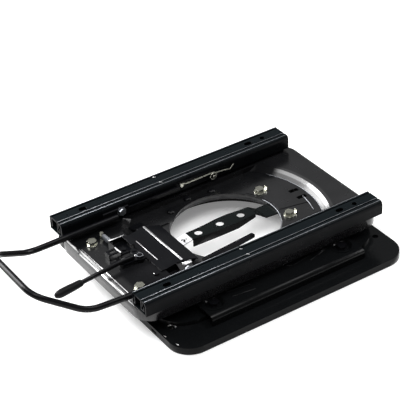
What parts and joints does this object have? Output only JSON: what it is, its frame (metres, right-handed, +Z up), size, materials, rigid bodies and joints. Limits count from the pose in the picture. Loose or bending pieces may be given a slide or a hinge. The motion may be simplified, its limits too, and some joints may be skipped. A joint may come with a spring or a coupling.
{
  "type": "swivel seat base",
  "caption": "Pressed-steel swivel seat base on a ball ring, with slide rails, a slide release bar, a swivel release lever and bolt holes for floor and seat.",
  "frame": {"origin": "on the swivel axis, level with the underside of the pan", "axes": "+Z up along the swivel axis, -Y to the front where the release bar stands, +X to the side"},
  "size_m": [0.406, 0.6082, 0.1202],
  "materials": {
    "black_paint": "gloss",
    "tray_paint": "satin",
    "zinc": "bright zinc",
    "bearing_steel": "ground",
    "cage_plastic": "matte",
    "shoe_plastic": "matte",
    "grip_plastic": "satin"
  },
  "bodies": {
    "base": {"base_pan": "black_paint", "deck_frame": "black_paint", "side_channel_left": "black_paint", "side_channel_right": "black_paint", "channel_bolts": "black_paint", "channel_nuts": "zinc", "bearing_outer_ring": "bearing_steel"},
    "bearing_cage": {"ball_cage": "cage_plastic", "bearing_balls": "bearing_steel"},
    "turntable": {"bearing_inner_ring": "bearing_steel", "upper_tray": "tray_paint", "crossbar": "tray_paint", "ring_bolts": "zinc", "tab_washers": "zinc", "ring_rivets": "black_paint", "rail_riser_left": "black_paint", "rail_riser_right": "black_paint", "lower_rail_left": "black_paint", "lower_rail_right": "black_paint", "rail_rivets": "zinc", "pivot_bolts": "zinc", "wire_spring_left": "zinc", "wire_spring_right": "zinc", "spring_posts": "zinc", "front_bolts": "zinc", "front_washers": "zinc", "front_nuts": "zinc", "latch_bracket": "black_paint", "bracket_rivets": "zinc", "lever_pivot_pin": "black_paint", "coil_spring": "zinc", "spring_anchor": "zinc", "stop_arm": "black_paint", "stop_arm_pin": "black_paint", "tray_screw": "zinc"},
    "rail_left": {"upper_rail_left": "black_paint", "slide_shoes_left": "shoe_plastic"},
    "rail_right": {"upper_rail_right": "black_paint", "slide_shoes_right": "shoe_plastic"},
    "bar": {"towel_bar": "black_paint", "latch_arm_left": "black_paint", "latch_arm_right": "black_paint"},
    "lever": {"release_lever": "black_paint", "crank_pin": "black_paint", "release_rod": "black_paint", "lever_grip": "grip_plastic"},
    "link": {"lock_link": "black_paint"}
  },
  "joints": [
    {"name": "swivel", "type": "hinge", "parent": "base", "child": "turntable", "pos_m": [0, 0, 0.035], "axis": [0, 0, 1], "continuous": true},
    {"name": "cage_turn", "type": "hinge", "parent": "base", "child": "bearing_cage", "pos_m": [0, 0, 0.035], "axis": [0, 0, 1], "continuous": true},
    {"name": "slide_left", "type": "slide", "parent": "turntable", "child": "rail_left", "axis": [0, 1, 0], "range_m": [-0.1, 0.1]},
    {"name": "slide_right", "type": "slide", "parent": "turntable", "child": "rail_right", "axis": [0, 1, 0], "range_m": [-0.1, 0.1]},
    {"name": "bar_lift", "type": "hinge", "parent": "turntable", "child": "bar", "pos_m": [0, -0.138, 0.072], "axis": [1, 0, 0], "range_deg": [0, 3]},
    {"name": "lever_turn", "type": "hinge", "parent": "turntable", "child": "lever", "pos_m": [0.0107, -0.173, 0.06], "axis": [0, 0, 1], "range_deg": [-16, 0]},
    {"name": "link_slide", "type": "slide", "parent": "turntable", "child": "link", "axis": [0, 1, 0], "range_m": [0, 0.00524]}
  ],
  "couplings": [
    {"joint": "cage_turn", "follows": "swivel", "ratio": 0.5},
    {"joint": "slide_right", "follows": "slide_left", "ratio": 1},
    {"joint": "link_slide", "follows": "lever_turn", "m_per_rad": -0.01875}
  ]
}
